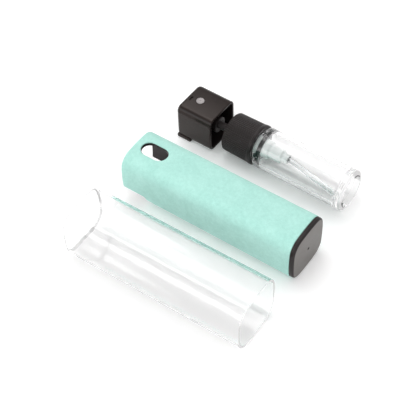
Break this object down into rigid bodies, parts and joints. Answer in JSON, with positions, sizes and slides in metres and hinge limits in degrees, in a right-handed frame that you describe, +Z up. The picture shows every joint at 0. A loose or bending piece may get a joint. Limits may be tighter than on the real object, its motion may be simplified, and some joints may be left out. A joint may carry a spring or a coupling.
{
  "type": "lens cleaning spray",
  "caption": "Pocket lens cleaner laid out in its three pieces: clear slip-on cover, microfibre-wrapped sleeve with a nozzle window, and refillable mist sprayer.",
  "frame": {"origin": "centre of the layout's footprint, on the surface it lies on", "axes": "+X along the sleeve toward its base plug, +Y from the cover across the sleeve to the sprayer, +Z up"},
  "size_m": [0.0972, 0.1117, 0.0286],
  "materials": {
    "clear_cover": "clear moulded, glossy",
    "clear_bottle": "clear moulded, thick wall",
    "black_satin": "satin black moulded",
    "black_gloss": "glossy black moulded",
    "microfibre": "mint microfibre nap",
    "nozzle_grey": "light grey moulded",
    "stem_grey": "dark moulded",
    "pump_white": "natural white polypropylene",
    "gasket": "soft moulded ring",
    "tube_clear": "translucent extruded tube",
    "spring_steel": "drawn stainless wire",
    "ball_glass": "polished ball"
  },
  "bodies": {
    "sleeve": {"sleeve_shell": "black_satin", "microfibre_wrap": "microfibre", "base_plug": "black_satin"},
    "cover": {"clear_cover": "clear_cover"},
    "refill_bottle": {"bottle": "clear_bottle"},
    "pump": {"pump_housing": "pump_white", "stem_guide": "black_satin", "neck_gasket": "gasket", "dip_tube": "tube_clear", "pump_spring": "spring_steel"},
    "collar": {"screw_collar": "black_satin"},
    "stem": {"pump_stem": "stem_grey", "stem_pin": "pump_white"},
    "piston": {"pump_piston": "pump_white"},
    "ball": {"inlet_ball": "ball_glass"},
    "head": {"spray_head": "black_gloss", "nozzle_insert": "nozzle_grey"}
  },
  "joints": [
    {"name": "cover_pull", "type": "slide", "parent": "sleeve", "child": "cover", "axis": [-0.9999, -0.0105, 0], "range_m": [0, 0.0955]},
    {"name": "sprayer_pull", "type": "slide", "parent": "sleeve", "child": "refill_bottle", "axis": [-0.9998, 0.0192, 0], "range_m": [0, 0.093]},
    {"name": "pump_lift", "type": "slide", "parent": "refill_bottle", "child": "pump", "axis": [-0.9998, 0.0192, 0], "range_m": [0, 0.006]},
    {"name": "collar_turn", "type": "hinge", "parent": "pump", "child": "collar", "pos_m": [-0.01225, 0.04476, 0.01045], "axis": [-0.9998, 0.0192, 0], "range_deg": [0, 720]},
    {"name": "stem_press", "type": "slide", "parent": "pump", "child": "stem", "axis": [0.9998, -0.0192, 0], "range_m": [0, 0.0045], "stiffness_N_per_m": 600, "springref_m": -0.004, "deforming": ["pump_spring"]},
    {"name": "piston_slide", "type": "slide", "parent": "pump", "child": "piston", "axis": [0.9998, -0.0192, 0], "range_m": [0, 0.0039]},
    {"name": "ball_lift", "type": "slide", "parent": "pump", "child": "ball", "axis": [-0.9998, 0.0192, 0], "range_m": [0, 0.0008]},
    {"name": "head_swivel", "type": "hinge", "parent": "stem", "child": "head", "pos_m": [-0.03824, 0.04526, 0.01045], "axis": [-0.9998, 0.0192, 0], "continuous": true}
  ],
  "couplings": [
    {"joint": "pump_lift", "follows": "collar_turn", "m_per_rad": 0.00047746},
    {"joint": "piston_slide", "follows": "stem_press", "ratio": 0.86667}
  ]
}
